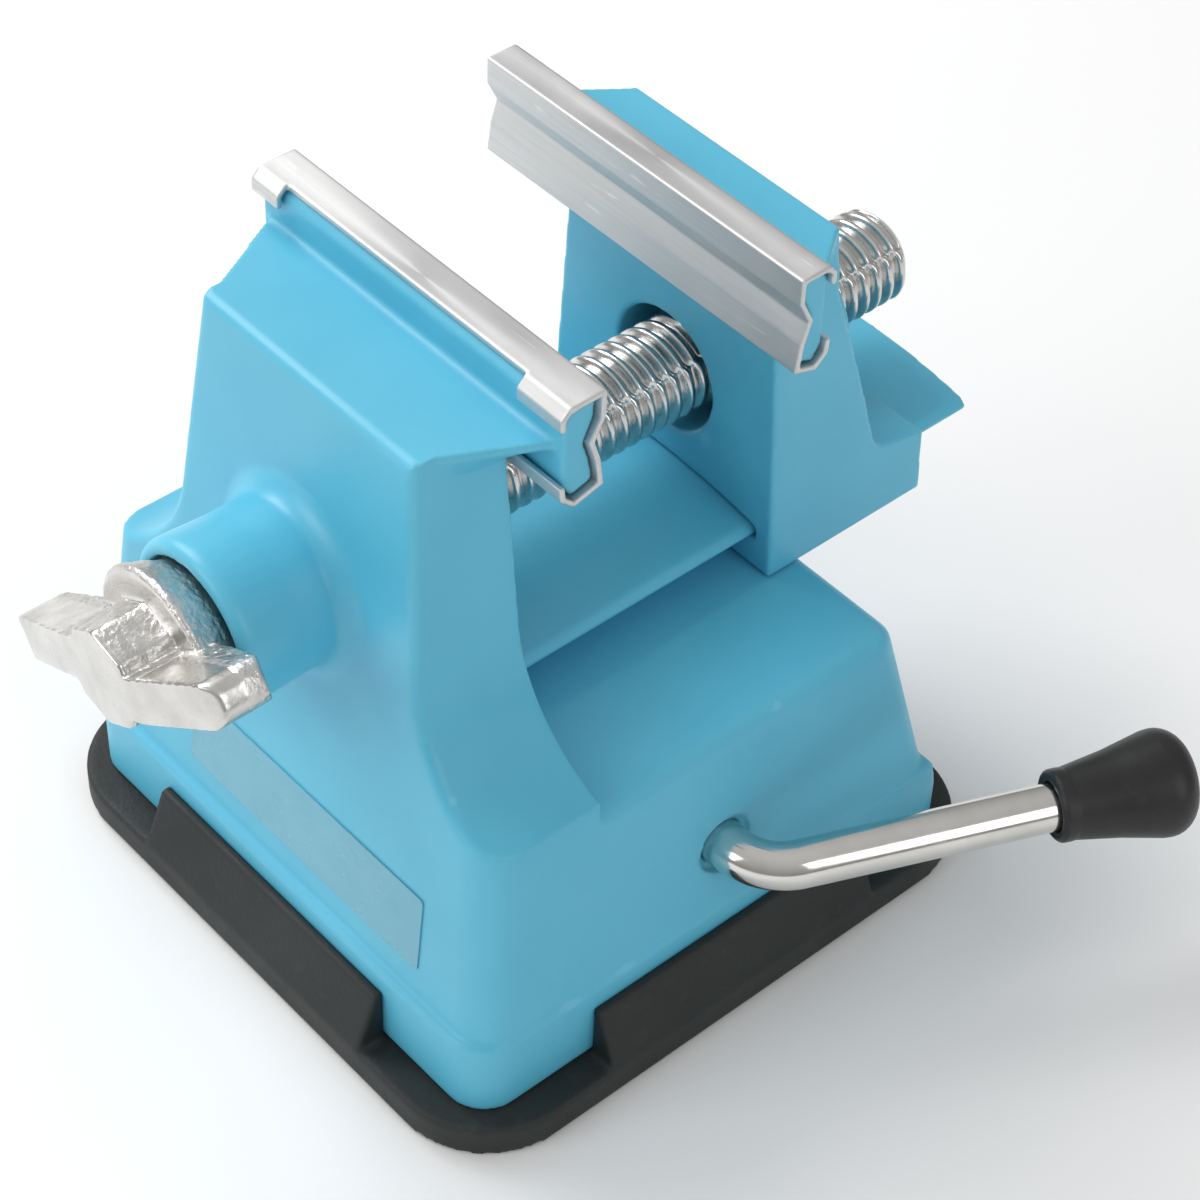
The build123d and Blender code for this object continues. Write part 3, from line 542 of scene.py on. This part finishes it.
turn = math.radians(66.6)
arm = (math.cos(turn), math.sin(turn), 0.0)
arc_end = (38.8 + 8 * math.sin(turn), 8 * (1 - math.cos(turn)))
start_pt = (arc_end[0] + arm[0] * 32.4, arc_end[1] + arm[1] * 32.4, 25.0)
dome = [(17.9 - 3.4 * (1 - math.sin(a)), 3.3 + 3.5 * math.cos(a)) for a in np.linspace(0.0, math.pi / 2, 9)]
prof = rounded([(0.9, 3.02), (0.0, 3.3), (0.0, 4.15), (0.45, 4.6), (1.6, 4.62), (2.1, 4.55), (8.0, 5.5), (13.5, 6.72)], 0.45)
prof = [(6.0, 0.0), (6.0, 3.02)] + prof + dome + [(18.03, 1.6), (18.05, 0.0)]
grip = lathe("lever_grip_vinyl", prof, start_pt, arm, (0, 0, 1), vinyl)
co, no = arrays(grip.data)
put(grip.data, co + no * (lumps(co, 6.0, 21) * 0.06)[:, None])
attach(grip, "lever")
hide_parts("lever_grip")

# suction pad: thin disc with a lip and shallow rings on its face
pad = [(1.32, 0.0)]
for k in range(9):
    r = 5.0 + k * 2.6
    pad += [(1.32, r - 0.5), (1.46, r - 0.2), (1.46, r + 0.2), (1.32, r + 0.5)]
pad += [(1.30, 28.4), (0.66, 30.6), (0.62, 32.0), (0.9, 32.46), (2.8, 32.46), (3.36, 31.9), (3.38, 2.1), (2.62, 2.08), (2.58, 11.98), (1.74, 11.98), (1.72, 0.0)]
cup = lathe("suction_cup", rounded(pad, 0.25, 2), (0, 0, 0), (0, 0, 1), (1, 0, 0), foot_rubber, 128)
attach(cup, "suction")
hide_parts("suction_pad")

# ------------------------------------------------------------------ lever rod
# the bent rod outside the base, as a smooth sweep that starts inside the bore
path = [(x, 0.0, 0.0) for x in np.linspace(33.5, 38.8, 8)]
path += [(38.8 + 8 * math.sin(a), 8 * (1 - math.cos(a)), a) for a in np.linspace(0.0, turn, 49)[1:]]
path += [(arc_end[0] + arm[0] * u, arc_end[1] + arm[1] * u, turn) for u in np.linspace(0.0, 32.4 + 5.0, 40)[1:]]
verts, faces = [], []
AROUND = 72
for px, py, a in path:
    for k in range(AROUND):
        w = 2 * math.pi * k / AROUND
        bend = max(0.0, math.sin(math.pi * min(1.0, a / turn))) if 0 < a < turn else 0.0
        r = 3.02 * (1.0 - 0.018 * bend * abs(math.cos(w)))
        verts.append(((px - math.sin(a) * r * math.cos(w)), (py + math.cos(a) * r * math.cos(w)), 25.0 + r * math.sin(w)))
for j in range(len(path) - 1):
    for k in range(AROUND):
        p, q = j * AROUND + k, j * AROUND + (k + 1) % AROUND
        faces.append((p, q, q + AROUND, p + AROUND))
faces.append(tuple(range(AROUND)))
faces.append(tuple(range(len(verts) - AROUND, len(verts))))
rod = from_arrays("lever_rod_outside", np.array(verts) * MM, faces, chrome)
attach(rod, "lever")
rod_in = welded("lever_rod")
bm = bmesh.new()
bm.from_mesh(rod_in)
cut = bmesh.ops.bisect_plane(
    bm, geom=bm.verts[:] + bm.edges[:] + bm.faces[:], dist=1e-7,
    plane_co=(34.5 * MM, 0, 0), plane_no=(1, 0, 0), clear_outer=True,
)
bmesh.ops.holes_fill(bm, edges=[e for e in cut["geom_cut"] if isinstance(e, bmesh.types.BMEdge)], sides=0)
bm.to_mesh(rod_in)
bm.free()
rod_inside = add_object("lever_rod_inside", rod_in, chrome)
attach(rod_inside, "lever")
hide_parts("lever_rod")
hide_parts("lever_rod")

# ------------------------------------------------------------------ floor, light and camera
floor_m = Mat("floor_paper")
floor_m.link(floor_m.mix(floor_m.spread(floor_m.noise(400, 2.0), 0.0, 1.0), (0.90, 0.90, 0.90), (0.92, 0.92, 0.92)), floor_m.b.inputs["Base Color"])
floor_m.set(Roughness=0.9)
floor_m.bump((floor_m.noise(1.5, 3.0), 0.05, 0.02))
me = bpy.data.meshes.new("floor")
me.from_pydata([(-4, -4, -0.0002), (4, -4, -0.0002), (4, 4, -0.0002), (-4, 4, -0.0002)], [], [(0, 1, 2, 3)])
floor = add_object("floor", me, floor_m.m)

world = bpy.data.worlds.new("studio")
scene.world = world
world.use_nodes = True
nt = world.node_tree
nt.nodes.clear()
out = nt.nodes.new("ShaderNodeOutputWorld")
bg = nt.nodes.new("ShaderNodeBackground")
tc = nt.nodes.new("ShaderNodeTexCoord")
sep = nt.nodes.new("ShaderNodeSeparateXYZ")
ramp = nt.nodes.new("ShaderNodeValToRGB")
nt.links.new(tc.outputs["Generated"], sep.inputs[0])
nt.links.new(sep.outputs["Z"], ramp.inputs[0])
nt.links.new(ramp.outputs[0], bg.inputs[0])
nt.links.new(bg.outputs[0], out.inputs[0])
for el, (p, c) in zip([ramp.color_ramp.elements[0], ramp.color_ramp.elements[1], ramp.color_ramp.elements.new(0.30)],
                      [(0.0, 0.45), (0.75, 1.0), (0.30, 0.62)]):
    el.position, el.color = p, (c, c, c, 1)
bg.inputs[1].default_value = 0.62


def softbox(name, pos, target, size, power, colour=(1, 1, 1)):
    d = bpy.data.lights.new(name, "AREA")
    d.shape, d.size, d.size_y, d.energy, d.color = "RECTANGLE", size[0], size[1], power, colour
    o = bpy.data.objects.new(name, d)
    scene.collection.objects.link(o)
    o.location = pos
    o.rotation_euler = (Vector(target) - Vector(pos)).to_track_quat("-Z", "Y").to_euler()
    return o


softbox("key", (-0.78, -0.12, 0.80), (0, 0, 0.05), (0.7, 0.7), 8.5)
softbox("front", (-0.25, -0.9, 0.55), (0, 0, 0.05), (0.6, 0.5), 3.0)
softbox("side", (0.9, 0.10, 0.5), (0, 0, 0.05), (0.4, 0.6), 1.6)

cam = bpy.data.cameras.new("camera")
cam.sensor_width = 36.0
cam.lens = 97.111
cam.clip_start = 0.01
co_ = bpy.data.objects.new("camera", cam)
scene.collection.objects.link(co_)
C = (215.685665, -185.859645, 317.187464)
Rv = (0.656751691, 0.753558795, 0.028746444)
Uv = (-0.542026847, 0.445205193, 0.712740649)
Fv = (-0.524293919, 0.483674971, -0.700838362)
co_.matrix_world = Matrix((
    (Rv[0], Uv[0], -Fv[0], C[0] * MM),
    (Rv[1], Uv[1], -Fv[1], C[1] * MM),
    (Rv[2], Uv[2], -Fv[2], C[2] * MM),
    (0, 0, 0, 1),
))
scene.camera = co_
scene.view_settings.view_transform = "Standard"
